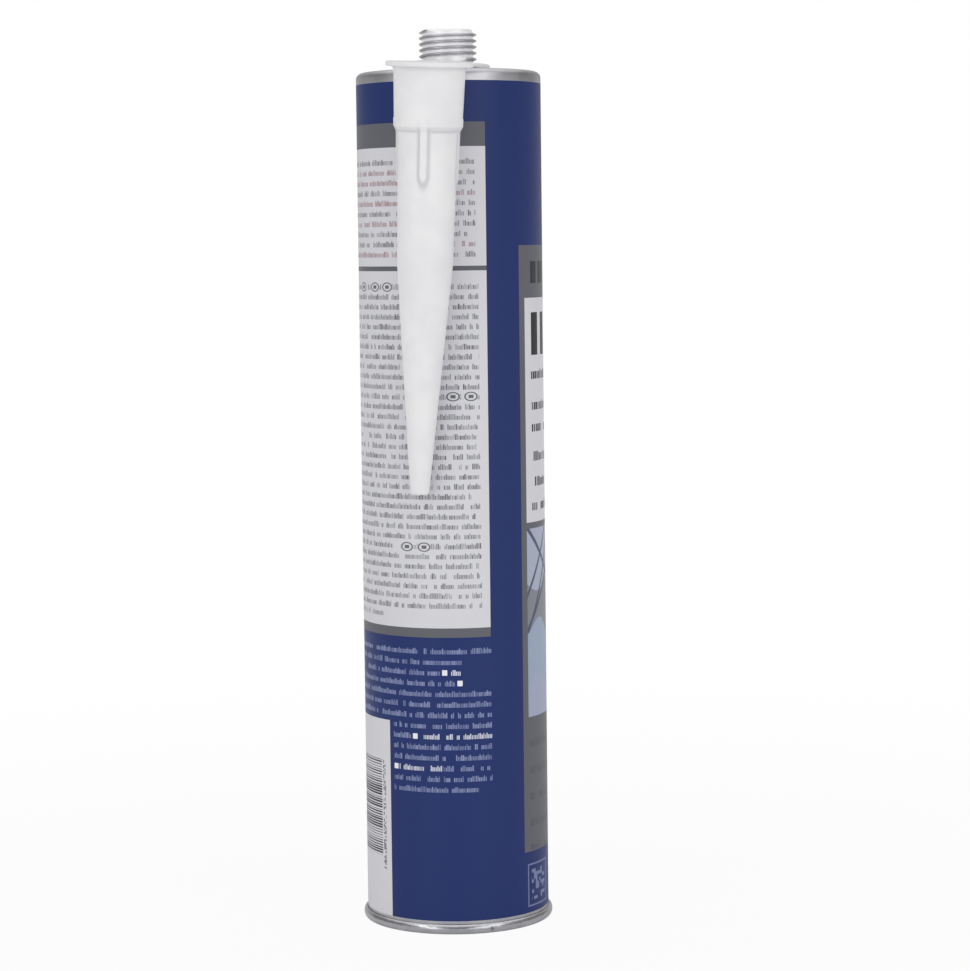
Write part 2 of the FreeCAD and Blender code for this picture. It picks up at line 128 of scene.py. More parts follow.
def finished(name, mesh, materials, crease=35):
    """The mesh as an object with its faces outwards, smooth but for edges sharper than crease."""
    bmesh.ops.recalc_face_normals(mesh, faces=mesh.faces)
    data = bpy.data.meshes.new(name)
    mesh.to_mesh(data)
    mesh.free()
    data.shade_smooth()
    data.set_sharp_from_angle(angle=math.radians(crease))
    for material in materials:
        data.materials.append(material)
    piece = bpy.data.objects.new(name, data)
    bpy.context.scene.collection.objects.link(piece)
    return piece


def shell_outline():
    """The cartridge's section, from the membrane's middle over the outside and back inside."""
    lip = 0.15 * MM
    inner_fold = rim_fold - wall_gauge
    rim_middle = (wall_radius + inner_fold, rim_height / 2)
    rim_reach = rim_radius - rim_middle[0]
    inner_wall = wall_radius - wall_gauge
    flat = wall_radius - shoulder_corner
    under = shoulder_edge - shoulder_gauge
    points = [(0, membrane_top), (neck_bore * 0.9, membrane_top), (neck_bore, membrane_top)]
    points += bend((neck_bore + lip, neck_top - lip), lip, 180, 90, 3)
    points += [(neck_radius - neck_chamfer, neck_top), (neck_radius, neck_top - neck_chamfer_height)]
    threaded_foot = shoulder_crown + neck_fillet
    points += run(points.pop(), (neck_radius, threaded_foot), 112)
    points += bend((neck_radius + neck_fillet, threaded_foot), neck_fillet, 180, 270, 6)
    points += bend((flat, shoulder_edge - shoulder_corner), shoulder_corner, 90, 0, 10)
    points += [(wall_radius, enamel_top)]
    points += run((wall_radius, enamel_top - 0.01 * MM), (wall_radius, enamel_foot), 24)
    points += [(wall_radius, enamel_foot), (wall_radius, rim_height)]
    points += bend((rim_middle[0], rim_fold), inner_fold, 180, 260, 3)
    points += bead(rim_middle, rim_reach - wall_gauge, rim_height / 2 - wall_gauge, -90, 90, 12)
    points += [(wall_radius + rim_gap, rim_height - wall_gauge), (wall_radius + rim_gap, rim_height)]
    points += bead(rim_middle, rim_reach, rim_height / 2, 88, -90, 24)
    points += bend((rim_middle[0], rim_fold), rim_fold, 260, 180, 5)
    inner_corner = shoulder_corner - wall_gauge
    points += bend((inner_wall - inner_corner, under - inner_corner), inner_corner, 0, 90, 6)
    points += [(neck_bore, under + 0.4 * MM), (neck_bore, membrane_top - membrane_gauge)]
    return points + [(0, membrane_top - membrane_gauge)]


def shell_finish(here, there):
    """Enamel on the outside of the wall between its two edges, bare metal elsewhere."""
    outside = min(here.x, there.x) > wall_radius - 0.01 * MM
    middle = (here.z + there.z) / 2
    return ENAMEL if outside and enamel_foot < middle < enamel_top else BARE


# The neck's thread, and the one inside the nozzle's socket.
# Both are rolled or moulded as a right-hand tooth of M15 x 1.5. A Geometry Nodes tree raises the
# tooth out of a plain turned wall, and fades it in and out over a tenth of a turn. Turns are
# counted from the crest that stands over +X at the height of the foot.
thread_pitch = 1.55 * MM
thread_depth = 0.95 * MM
thread_foot = shoulder_edge + 3.38 * MM
thread_first, thread_last = -0.16, 4.7
thread_fade = 0.1
tooth_base = 1.3 * MM
tooth_land = 0.25 * MM


class Reading:
    """A number that varies over a piece, in a node tree. Sums on readings lay down Math nodes."""

    def __init__(self, tree, socket):
        self.tree = tree
        self.socket = socket

    def step(self, operation, *others):
        node = self.tree.nodes.new("ShaderNodeMath")
        node.operation = operation
        for place, entry in zip(node.inputs, (self, *others)):
            if isinstance(entry, Reading):
                self.tree.links.new(entry.socket, place)
            else:
                place.default_value = entry
        return Reading(self.tree, node.outputs[0])

    def __add__(self, other):
        return self.step("ADD", other)

    def __sub__(self, other):
        return self.step("SUBTRACT", other)

    def __rsub__(self, other):
        return self.step("MULTIPLY_ADD", -1.0, other)

    def __mul__(self, other):
        return self.step("MULTIPLY", other)

    def __truediv__(self, other):
        return self.step("DIVIDE", other)

    def __gt__(self, other):
        return self.step("GREATER_THAN", other)

    def __lt__(self, other):
        return self.step("LESS_THAN", other)

    def size(self):
        return self.step("ABSOLUTE")

    def whole(self):
        return self.step("FLOOR")

    def part(self):
        return self.step("FRACT")

    def most(self, other):
        return self.step("MAXIMUM", other)

    def within(self, low, high):
        return (self > low) * (self < high)

    def rise(self, low, high):
        """From 0 at low to 1 at high, with soft ends."""
        node = self.tree.nodes.new("ShaderNodeMapRange")
        node.interpolation_type = "SMOOTHSTEP"
        self.tree.links.new(self.socket, node.inputs["Value"])
        for name, entry in (("From Min", low), ("From Max", high)):
            if isinstance(entry, Reading):
                self.tree.links.new(entry.socket, node.inputs[name])
            else:
                node.inputs[name].default_value = entry
        return Reading(self.tree, node.outputs["Result"])


def split(tree, socket):
    """The X, Y and Z readings of a vector."""
    node = tree.nodes.new("ShaderNodeSeparateXYZ")
    tree.links.new(socket, node.inputs[0])
    return [Reading(tree, output) for output in node.outputs]


def joined(tree, x, y, z):
    """A vector socket made of three readings or numbers."""
    node = tree.nodes.new("ShaderNodeCombineXYZ")
    for place, entry in zip(node.inputs, (x, y, z)):
        if isinstance(entry, Reading):
            tree.links.new(entry.socket, place)
        else:
            place.default_value = entry
    return node.outputs[0]


def new_tree(name, inputs):
    """A Geometry Nodes tree with a named input for each size, and its input readings by name."""
    tree = bpy.data.node_groups.new(name, "GeometryNodeTree")
    tree.interface.new_socket("Geometry", in_out="INPUT", socket_type="NodeSocketGeometry")
    for title in inputs:
        tree.interface.new_socket(title, in_out="INPUT", socket_type="NodeSocketFloat")
    tree.interface.new_socket("Finish", in_out="INPUT", socket_type="NodeSocketMaterial")
    tree.interface.new_socket("Geometry", in_out="OUTPUT", socket_type="NodeSocketGeometry")
    entry = tree.nodes.new("NodeGroupInput")
    readings = {title: Reading(tree, entry.outputs[title]) for title in inputs}
    return tree, entry, readings


def push_outwards(tree, entry, geometry, x, y, radius, lift, chosen):
    """Ends a tree: moves each point of the geometry out by lift, where it is chosen.

    The chosen faces get the tree's finish.
    """
    move = tree.nodes.new("GeometryNodeSetPosition")
    real = tree.nodes.new("GeometryNodeRealizeInstances")
    paint = tree.nodes.new("GeometryNodeSetMaterial")
    leave = tree.nodes.new("NodeGroupOutput")
    offset = joined(tree, x / radius * lift, y / radius * lift, 0.0)
    tree.links.new(geometry, move.inputs["Geometry"])
    tree.links.new(offset, move.inputs["Offset"])
    tree.links.new(move.outputs["Geometry"], real.inputs["Geometry"])
    tree.links.new(real.outputs["Geometry"], paint.inputs["Geometry"])
    tree.links.new(chosen.socket, paint.inputs["Selection"])
    tree.links.new(entry.outputs["Finish"], paint.inputs["Material"])
    tree.links.new(paint.outputs["Geometry"], leave.inputs["Geometry"])


def position_readings(tree):
    """Where each point lies, and its distance from the piece's own axis, which is never 0."""
    place = tree.nodes.new("GeometryNodeInputPosition")
    x, y, z = split(tree, place.outputs[0])
    radius = (x * x + y * y).step("SQRT").most(0.001 * MM)
    return x, y, z, radius


THREAD_SIZES = ("Wall Radius", "Wall Reach", "Depth", "Pitch", "Foot", "First Turn", "Last Turn",
                "Base", "Land")
thread_tree, entry, size = new_tree("rolled_thread", THREAD_SIZES)
x, y, z, radius = position_readings(thread_tree)
turned = (y.step("ARCTAN2", x) / (2 * math.pi)).part()
climb = (z - size["Foot"]) / size["Pitch"] - turned
tooth = (climb + 0.5).whole()
from_crest = (climb - tooth).size() * size["Pitch"]
travel = tooth + turned
begun = travel.rise(size["First Turn"], size["First Turn"] + thread_fade)
over = travel.rise(size["Last Turn"] - thread_fade, size["Last Turn"])
ends = begun * (1.0 - over)
flank = 1.0 - from_crest.rise(size["Land"] * 0.3, size["Base"] * 0.5)
on_wall = (radius - size["Wall Radius"]).size() < size["Wall Reach"]
tooth_lift = flank * ends * on_wall * size["Depth"]
push_outwards(thread_tree, entry, entry.outputs["Geometry"], x, y, radius, tooth_lift, on_wall)


def worked(piece, tree, sizes, finish):
    """Runs a tree on a piece, keeps the result as its plain mesh and drops the modifier."""
    modifier = piece.modifiers.new(tree.name, "NODES")
    modifier.node_group = tree
    for item in tree.interface.items_tree:
        if item.in_out == "INPUT" and item.name in sizes:
            modifier[item.identifier] = sizes[item.name]
        if item.name == "Finish":
            modifier[item.identifier] = finish
    evaluated = piece.evaluated_get(bpy.context.evaluated_depsgraph_get())
    mesh = bpy.data.meshes.new_from_object(evaluated)
    piece.modifiers.clear()
    piece.data = mesh
    return piece


# Bare aluminium.
# The shoulder, the neck, the rim and the inside aren't printed. The metal is satin, with the fine
# lines that turning leaves around the axis, and a little clouding. Rolling has left the rim
# smoother, with a nick in it, and the threaded neck is matt and pale. The nick is a dent, and its
# colour is darkened with painted shade.
nick_turn = math.radians(27.6)
nick = (rim_radius * math.sin(nick_turn), -rim_radius * math.cos(nick_turn), 1.1 * MM)
nick_reach = 0.75 * MM
line_squeeze = 60


def srgb(red, green, blue):
    """A colour with each part from 0 to 255, as the linear colour that a shader takes."""
    parts = [level / 255 for level in (red, green, blue)]
    linear = [p / 12.92 if p <= 0.04045 else ((p + 0.055) / 1.055) ** 2.4 for p in parts]
    return (*linear, 1.0)


def new_material(name):
    material = bpy.data.materials.new(name)
    material.use_nodes = True
    return material, material.node_tree, material.node_tree.nodes["Principled BSDF"]


def object_place(tree):
    return tree.nodes.new("ShaderNodeTexCoord").outputs["Object"]


def cloud(tree, place, scale, detail=3.0):
    """A soft noise reading from 0 to 1, its scale in spots for each metre."""
    node = tree.nodes.new("ShaderNodeTexNoise")
    node.inputs["Scale"].default_value = scale
    node.inputs["Detail"].default_value = detail
    tree.links.new(place, node.inputs["Vector"])
    return Reading(tree, node.outputs[0])


def relief(tree, shader, height, depth):
    """Bump from a height reading, its depth in metres."""
    node = tree.nodes.new("ShaderNodeBump")
    node.inputs["Strength"].default_value = 1.0
    node.inputs["Distance"].default_value = depth
    tree.links.new(height.socket, node.inputs["Height"])
    tree.links.new(node.outputs[0], shader.inputs["Normal"])


def blended(tree, share, first, second):
    """A colour between two colours or colour sockets, by a reading from 0 to 1."""
    node = tree.nodes.new("ShaderNodeMix")
    node.data_type = "RGBA"
    tree.links.new(share.socket, node.inputs["Factor"])
    for place, colour in ((node.inputs[6], first), (node.inputs[7], second)):
        if isinstance(colour, tuple):
            place.default_value = colour
        else:
            tree.links.new(colour, place)
    return node.outputs[2]


def make_aluminium(name, dull, bright, rough, sheen=1.0):
    """Aluminium between two greys, with turning lines about the piece's own Z axis."""
    material, tree, shader = new_material(name)
    place = object_place(tree)
    x, y, z = split(tree, place)
    out = (x * x + y * y).step("SQRT")
    lines = cloud(tree, joined(tree, out * line_squeeze, 0.0, z * line_squeeze), 90, 4.0)
    mottle = cloud(tree, place, 260)
    off_x, off_y, off_z = x - nick[0], y - nick[1], z - nick[2]
    from_nick = (off_x * off_x + off_y * off_y + off_z * off_z).step("SQRT")
    nick_dent_and_shade = 1.0 - from_nick.rise(0.1 * MM, nick_reach)
    colour = blended(tree, mottle.rise(0.3, 0.7), dull, bright)
    # Painted shade in the nick: its colour is darkened towards a dark grey, and the bump below dents
    # it
    colour = blended(tree, nick_dent_and_shade * 0.7, colour, srgb(90, 90, 94))
    tree.links.new(colour, shader.inputs["Base Color"])
    unrolled = (z > rim_height) * 0.12
    tree.links.new((lines * 0.14 + mottle * 0.1 + unrolled + rough).socket,
                   shader.inputs["Roughness"])
    shader.inputs["Metallic"].default_value = sheen
    dents = cloud(tree, place, 420, 1.0) * (z < rim_height)
    relief(tree, shader, lines * 0.08 + mottle * 0.05 + dents - nick_dent_and_shade, 0.1 * MM)
    return material


bare_metal = make_aluminium("satin_aluminium", srgb(190, 190, 194), srgb(202, 202, 206), 0.14)
neck_metal = make_aluminium("matt_aluminium", srgb(246, 246, 248), srgb(252, 252, 253), 0.1, 0.2)

# The print on the wall.
# Blue enamel is baked on the metal, with a grey and off-white field of fine rows, a white field
# of bars at the foot, and a front field. Rows, bars and waves are generic. All of it is laid out
# by the angle round the tube, in degrees from -Y towards +X, and the height in millimetres.
blue = srgb(35, 51, 107)
band_grey = srgb(100, 101, 108)
field_white = srgb(214, 214, 219)
row_ink = srgb(66, 66, 72)
row_red = srgb(184, 144, 150)
front_ink = srgb(44, 44, 50)
pale_blue = srgb(160, 170, 208)
sky_blue = srgb(170, 177, 197)
water_blue = srgb(156, 170, 192)
ridge_grey = srgb(134, 136, 145)
arc_per_degree = wall_radius / MM * math.pi / 180

enamel, tree, shader = new_material("printed_enamel")
place = object_place(tree)
x, y, z = split(tree, place)
turn = x.step("ARCTAN2", y * -1.0) * (180 / math.pi)
height = z * (1 / MM)
along = turn * arc_per_degree


def chance(first, second):
    """Three random readings from 0 to 1, the same for each pair of whole numbers."""
    node = tree.nodes.new("ShaderNodeTexWhiteNoise")
    node.noise_dimensions = "2D"
    tree.links.new(joined(tree, first, second, 0.0), node.inputs["Vector"])
    return split(tree, node.outputs["Color"])


def field(left, right, low, high):
    return turn.within(left, right) * height.within(low, high)


def fine_print(rows_down, pitch, tall, cell=0.43):
    """Rows of small ticks as ink from 0 to 1, each tick with its own width, height and tone.

    They stand in groups, with some places left empty. rows_down counts rows from the top, with
    whole numbers between rows. Sizes inside are shares of a row's height and of a tick's cell.
    """
    longest_shift = 7.0
    empty_share = 0.16
    row = rows_down.whole()
    up = (0.5 - rows_down.part()) * pitch / tall
    place_in_row = along / cell + chance(row, 0.5)[0] * longest_shift
    column, across = place_in_row.whole(), place_in_row.part()
    first, second, third = chance(column, row + 0.5)
    taller = (first > 0.7) * 0.14
    tick = ((across - 0.5).size() < second * 0.22 + 0.24) * ((up - taller).size() < taller + 0.37)
    group = chance((column / 2.0).whole(), row + 0.25)[0] > empty_share
    return tick * (third * 0.5 + 0.5) * group, row


def badge(middle, level, wide, tall):
    """An upright ring with a dot: its ink, and the ground that it keeps clear of the rows."""
    ring_share, clear_share = 0.13, 1.25
    across = (along - middle * arc_per_degree) / (wide / 2)
    up = (height - level) / (tall / 2)
    out = (across * across + up * up).step("SQRT")
    dot = (across.size() < 0.42) * (up.size() < 0.4)
    return ((out - 1.0).size() < ring_share).most(dot), out < clear_share


def lay(ground, ink, colour):
    return blended(tree, ink, ground, colour)


def row_is_one_of(numbers):
    return reduce(Reading.most, [(row - number).size() < 0.5 for number in numbers])


# The field of fine rows on the left and the back, and the rows on the blue below it
rows_left, rows_right = -152.0, 29.6
seam_left, seam_right = -106.0, -100.0
divider = 169.6
paint = lay(blue, field(rows_left, rows_right, 76.3, 206.1), band_grey)
paint = lay(paint, field(rows_left, rows_right, 78.7, 200.0), field_white)
paint = lay(paint, field(rows_left, rows_right, 169.0, 170.2), band_grey)
in_upper, in_lower = height > divider, height < 77.5
in_middle = (1.0 - in_upper) * (1.0 - in_lower)
upper_pitch, middle_pitch, lower_pitch = 2.57, 2.52, 2.731
upper_first, middle_first, lower_first = 196.1, 164.85, 72.6
middle_number, lower_number = 20.0, 60.0
row_pitch = in_upper * upper_pitch + in_middle * middle_pitch + in_lower * lower_pitch
first_row = in_upper * upper_first + in_middle * middle_first + in_lower * lower_first
rows_down = (first_row - height) / row_pitch + 0.5
rows_down = rows_down + in_middle * middle_number + in_lower * lower_number
ink, row = fine_print(rows_down, row_pitch, 1.4)
upper = ink * field(seam_right, 22.8, 172.0, 197.6)
lower = ink * field(seam_right, 24.2, 82.8, 166.4).most(field(seam_right, -43.0, 80.2, 82.8))
back = ink * field(-147.0, seam_left, 80.2, 197.6) * (1.0 - height.within(166.5, 172.0))
red_left = row_is_one_of((1, 2, 4, 6, 9)) * (turn < -15.0)
red_right = row_is_one_of((3, 8)) * (turn > -5.0)
red = upper * red_left.most(red_right)
badge_places = ((-61.9, 165.0), (-47.0, 165.0), (-35.5, 165.0), (7.8, 137.4), (18.8, 137.4),
                (-22.9, 99.35), (-11.4, 99.35))
badges = [badge(middle, level, 3.1, 2.1) for middle, level in badge_places]
marks = reduce(Reading.most, [ring_ink for ring_ink, ground in badges])
kept_clear = reduce(Reading.most, [ground for ring_ink, ground in badges])
fine_rows = (upper.most(lower).most(back) * (1.0 - kept_clear)).most(marks)
paint = lay(paint, fine_rows * 0.85, row_ink)
paint = lay(paint, red * 0.75, row_red)

blue_rows_right = 29.8
on_blue = ink * field(-150.0, blue_rows_right, 54.86, 73.9).most(
    field(-35.0, blue_rows_right, 35.74, 54.86))
on_blue = on_blue * (1.0 - field(11.0, 31.0, 63.05, 71.24))
on_blue = on_blue * (1.0 - field(21.0, 31.0, 35.7, 38.46))
bullets = ((0.58, 67.33), (9.9, 64.61), (-18.9, 50.9), (-33.2, 42.74))
for middle, level in bullets:
    on_blue = on_blue * (1.0 - field(middle - 3.0, middle + 2.6, level - 1.5, level + 1.1))
paint = lay(paint, on_blue * 0.75, pale_blue)
half_row = 1.36
for left, right, level in ((2.6, 12.0, 67.14), (-16.0, 30.0, 50.75), (-32.0, -2.0, 42.56)):
    bright = on_blue * field(left, right, level - half_row, level + half_row)
    paint = lay(paint, bright, srgb(226, 228, 236))
for middle, level in bullets:
    bullet = (turn - middle).size() < 1.6
    paint = lay(paint, bullet * ((height - level).size() < 0.7), srgb(235, 235, 240))

# The white field of bars at the foot
bar_pitch = 0.66
paint = lay(paint, field(-125.0, -38.4, 0.0, 54.3), field_white)
bar_width = chance((height / bar_pitch).whole(), 7.0)[0]
bar = (height / bar_pitch).part() < bar_width * 0.5 + 0.22
paint = lay(paint, bar * field(-112.0, -47.0, 18.7, 44.0), front_ink)
tick = chance((height / 0.45).whole(), (along / 0.5).whole())[0]
paint = lay(paint, (tick > 0.5) * field(-45.8, -43.0, 15.0, 44.0) * 0.7, row_ink)

# The front field: a grey head, a white part with bold bars, a pale design of waves and a grey foot
front_left, front_right = 53.9, 172.0
inner_left, inner_right = 59.0, 167.0
picture_foot, picture_top = 54.2, 102.8
rail_foot, water_top, ridge_top = 76.0, 77.0, 90.0
bold_pitch, foot_pitch = 2.9, 6.9
paint = lay(paint, field(front_left, front_right, 19.2, 175.2), band_grey)
paint = lay(paint, field(inner_left, inner_right, 104.4, 161.8), field_white)
head_bar = field(65.6, 145.5, 165.5, 171.1) * ((along / 4.9 - 0.45).part() < 0.76)
paint = lay(paint, head_bar, srgb(52, 52, 58))
figures = field(66.0, 75.0, 147.2, 158.1).most(field(80.5, 89.5, 147.2, 158.1))
paint = lay(paint, figures, srgb(40, 40, 44))
bold_rows = ((143.5, 128.0), (135.6, 140.0), (130.0, 112.0), (122.5, 133.0), (116.0, 120.0),
             (109.8, 138.0))
for number, (top, right) in enumerate(bold_rows):
    bold_ink = fine_print((top - height) / bold_pitch + number, bold_pitch, 2.6, cell=1.1)[0]
    paint = lay(paint, field(65.5, right, top - 2.8, top) * (bold_ink > 0.1), front_ink)
picture = field(inner_left, inner_right, picture_foot, picture_top)
swell = (turn * (math.pi / 21)).step("SINE") * 2.6
second_swell = (turn * (math.pi / 33) + 1.1).step("SINE") * 3.4
paint = lay(paint, picture, sky_blue)
paint = lay(paint, picture * (height + second_swell < ridge_top), ridge_grey)
for rise, foot in ((0.62, 49.0), (0.52, 46.0), (0.74, 32.0), (-0.42, 128.0)):
    rail = (height - turn * rise - foot).size() < 0.75
    paint = lay(paint, picture * rail * (height > rail_foot), srgb(84, 90, 112))
paint = lay(paint, picture * (height + swell < water_top), water_blue)
deep = height + swell * 0.7 - second_swell * 0.5 < 62.0
paint = lay(paint, picture * deep, srgb(164, 170, 194))
foot_ink = fine_print((50.7 - height) / foot_pitch, foot_pitch, 2.4, cell=0.9)[0]
paint = lay(paint, foot_ink * field(60.0, 150.0, 19.5, 50.7) * 0.5, srgb(62, 62, 70))
stamp = field(56.8, 82.0, 4.8, 16.0) * (1.0 - field(57.8, 81.0, 5.2, 15.6))
dot_pitch = 0.9
dots = chance((along / dot_pitch).whole(), (height / dot_pitch).whole())[0]
stamp = stamp.most((dots > 0.52) * field(60.5, 78.5, 6.4, 14.4))
paint = lay(paint, stamp * 0.5, pale_blue)

tree.links.new(paint, shader.inputs["Base Color"])
peel = cloud(tree, place, 900)
wash = cloud(tree, place, 40)
tree.links.new((peel * 0.06 + wash * 0.1 + 0.3).socket, shader.inputs["Roughness"])
shader.inputs["Specular IOR Level"].default_value = 0.2
relief(tree, shader, peel, 0.006 * MM)

# The cartridge itself: the turned shell with its two finishes, and the thread rolled into the neck
mesh = bmesh.new()
shell_rings = [ring(r, z, SHELL_COLUMNS) for r, z in shell_outline()]
stretch(mesh, shell_rings, shell_finish)
shell = finished("printed_shell", mesh, [bare_metal, enamel])
worked(shell, thread_tree, {
    "Wall Radius": neck_radius, "Wall Reach": 0.35 * MM, "Depth": thread_depth,
    "Pitch": thread_pitch, "Foot": thread_foot, "First Turn": thread_first,
    "Last Turn": thread_last, "Base": tooth_base, "Land": tooth_land,
}, neck_metal)
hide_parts("cartridge")
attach(shell, "tube")

# The piston.
# A cup pressed from aluminium sheet closes the rear. Its open end faces the gun's push plate, and
# two shallow rings stiffen its face.
piston_low, piston_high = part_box("piston")
piston_radius = piston_high.x
piston_gauge = 0.5 * MM
piston_corner = 1.6 * MM
piston_ring_depth = 0.3 * MM
PISTON_RINGS = (8.0 * MM, 15.5 * MM)
ring_half_width = 1.1 * MM


def dish(radius):
    """How deep the pressed rings lie at a radius."""
    nearest = min(abs(radius - middle) for middle in PISTON_RINGS)
    share = min(1.0, nearest / ring_half_width)
    return piston_ring_depth * 0.5 * (1 + math.cos(math.pi * share))


flat_edge = piston_radius - piston_corner
stations = [flat_edge * step / 72 for step in range(1, 73)]
inner = piston_radius - piston_gauge
outline = [(0, piston_high.z)] + [(r, piston_high.z - dish(r)) for r in stations[:-1]]
outline += bend((flat_edge, piston_high.z - piston_corner), piston_corner, 90, 0, 8)
lip = piston_gauge / 2
outline += bend((piston_radius - lip, piston_low.z + lip), lip, 0, -180, 6)
inner_corner = piston_corner - piston_gauge
outline += bend((flat_edge, piston_high.z - piston_corner), inner_corner, 0, 90, 6)
under_face = piston_high.z - piston_gauge
outline += [(r, under_face - dish(r)) for r in reversed(stations[:-1])] + [(0, under_face)]
mesh = bmesh.new()
stretch(mesh, [ring(r, z, 160) for r, z in outline])
piston_metal = make_aluminium("pressed_aluminium", srgb(196, 197, 199), srgb(214, 215, 217), 0.28)
piston = finished("pressed_piston", mesh, [piston_metal])
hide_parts("piston")
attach(piston, "piston")

# The sealant.
# About 0.3 litres of paste fill the tube from the piston to the membrane. It is hidden while the
# tube is whole.
paste_low, paste_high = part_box("sealant")
paste_radius = paste_high.x
paste_core = neck_bore - 0.1 * MM
paste_corner = 1.25 * MM
paste_top = shoulder_edge - shoulder_gauge - 0.1 * MM
outline = [(0, paste_low.z), (paste_radius - 0.3 * MM, paste_low.z)]
outline += [(paste_radius, paste_low.z + 0.3 * MM)]
outline += bend((paste_radius - paste_corner, paste_top - paste_corner), paste_corner, 0, 90, 6)
outline += [(paste_core, paste_top + 0.4 * MM), (paste_core, paste_high.z), (0, paste_high.z)]
mesh = bmesh.new()
stretch(mesh, [ring(r, z, 96) for r, z in outline])
paste_look, tree, shader = new_material("sealant_paste")
lumps = cloud(tree, object_place(tree), 220)
tree.links.new(blended(tree, lumps, srgb(196, 196, 192), srgb(214, 214, 210)),
               shader.inputs["Base Color"])
tree.links.new((lumps * 0.2 + 0.4).socket, shader.inputs["Roughness"])
relief(tree, shader, lumps, 0.2 * MM)
paste = finished("paste_fill", mesh, [paste_look])
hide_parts("sealant")
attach(paste, "tube")
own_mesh(paste)

# The nozzle.
# One moulding of translucent white plastic: a tapered tube with four ribs and a threaded socket,
# and a flat strap and ring that hang it upside down on the neck. It is built standing on its
# mouth, with its own +Z to the tip and the ring on its +Y side, and then hung.
record = frame["record"]
socket_mount = next(m for m in record["mounts"] if m["name"] == "nozzle_socket")
swivel = next(j for j in frame["joints"] if j["name"] == "nozzle_swivel")
socket_depth = socket_mount["dims"]["length_mm"] * MM
plate_gauge = 1.2 * MM
out_of_mouth = Vector(socket_mount["axis"]).normalized()
mouth = Vector(socket_mount["pos_m"]) + out_of_mouth * (socket_depth / 2)
to_ring = Vector(swivel["pos_m"]) - mouth + out_of_mouth * plate_gauge
to_ring -= out_of_mouth * to_ring.dot(out_of_mouth)
hang_reach = to_ring.length
own_y = to_ring.normalized()
own_z = -out_of_mouth
own_x = own_y.cross(own_z)
hung = Matrix.Translation(mouth) @ Matrix((own_x, own_y, own_z)).transposed().to_4x4()

flange_radius = 10.85 * MM
ring_radius = 10.8 * MM
ring_hole = 7.8 * MM
half_strap = 5.5 * MM
strap_fillet = 3.0 * MM
strap_bend = 21.9 * MM
bend_radius = 12.0 * MM
hang_tilt = math.radians(4.4)
bend_run = bend_radius * hang_tilt
flat_reach = strap_bend + bend_run + (hang_reach - strap_bend) * math.cos(hang_tilt)
flat_reach -= bend_radius * math.sin(hang_tilt)
plate_round = 0.4 * MM
collar_radius = 8.85 * MM
socket_radius = socket_mount["dims"]["r_mm"] * MM
collar_end = 15.6 * MM
nozzle_length = 107.4 * MM
collar_waist = (8.51 * MM, 13.4 * MM)
collar_lip = (8.45 * MM, collar_end)
barrel_head = (7.49 * MM, 16.9 * MM)
barrel_middle = (7.2 * MM, 33.0 * MM)
taper_head = (6.94 * MM, 49.7 * MM)
tip_edge = (2.42 * MM, 107.0 * MM)
bore_tip = (1.22 * MM, 107.0 * MM)
bore_taper = (5.75 * MM, 49.7 * MM)
bore_foot = (6.3 * MM, 13.9 * MM)
NOZZLE_COLUMNS = 320


def sweep(centre, radius, start, end, steps):
    """Points along an arc in the plate's plane, without its last one. Angles are in radians."""
    turns = [start + (end - start) * step / steps for step in range(steps)]
    return [(centre[0] + radius * math.cos(t), centre[1] + radius * math.sin(t)) for t in turns]


def plate_edge(inset, level):
    """The plate's outline, drawn in by inset: the flange, the strap's two sides and the ring."""
    flange, hoop = flange_radius - inset, ring_radius - inset
    side, fillet = half_strap - inset, strap_fillet + inset
    out = side + fillet
    up = math.sqrt((flange + fillet) ** 2 - out ** 2)
    down = math.sqrt((hoop + fillet) ** 2 - out ** 2)
    low_turn, high_turn = math.atan2(up, out), math.atan2(down, out)
    far = flat_reach - down
    points = sweep((out, up), fillet, math.pi + low_turn, math.pi, 12)
    points += run((side, up), (side, far), 6)
    points += sweep((out, far), fillet, math.pi, math.pi - high_turn, 12)
    points += sweep((0, flat_reach), hoop, -high_turn, math.pi + high_turn, 120)
    points += sweep((-out, far), fillet, high_turn, 0, 12)
    points += run((-side, far), (-side, up), 6)
    points += sweep((-out, up), fillet, 0, -low_turn, 12)
    points += sweep((0, 0), flange, math.pi - low_turn, 2 * math.pi + low_turn, 120)
    return [Vector((px, py, level)) for px, py in points]


def hole_edge(radius, level):
    turns = [2 * math.pi * column / 120 for column in range(120)]
    return [Vector((radius * math.cos(t), flat_reach + radius * math.sin(t), level)) for t in turns]


def loop_edges(loop):
    pairs = zip(loop, loop[1:] + loop[:1])
    return [mesh.edges.get(pair) or mesh.edges.new(pair) for pair in pairs]


mesh = bmesh.new()
lean = [math.radians(90 * step / 5) for step in range(6)]
near_edge = [(plate_round * (1 - math.sin(t)), plate_round * (1 - math.cos(t))) for t in lean]
far_edge = [(inset, plate_gauge - level) for inset, level in reversed(near_edge)]
plate_rings = stretch(mesh, [plate_edge(inset, level) for inset, level in near_edge + far_edge])
hole_round = 0.2 * MM
hole_rings = stretch(mesh, [
    hole_edge(ring_hole + hole_round, 0), hole_edge(ring_hole + hole_round * 0.3, hole_round * 0.3),
    hole_edge(ring_hole, hole_round), hole_edge(ring_hole, plate_gauge - hole_round),
    hole_edge(ring_hole + hole_round * 0.3, plate_gauge - hole_round * 0.3),
    hole_edge(ring_hole + hole_round, plate_gauge),
])
root = 1.0 * MM
outline = bend((collar_radius + root, plate_gauge + root), root, 270, 180, 6)
outline += run((collar_radius, plate_gauge + root * 1.1), collar_waist, 8)
outline += run(collar_waist, collar_lip, 9)
outline += [(8.42 * MM, collar_end + 0.08 * MM), (8.3 * MM, collar_end + 0.26 * MM)]
outline += run((8.1 * MM, collar_end + 0.48 * MM), (7.53 * MM, collar_end + 1.16 * MM), 4)
outline += run(barrel_head, barrel_middle, 60)
outline += run(barrel_middle, taper_head, 8)
outline += run(taper_head, tip_edge, 24)
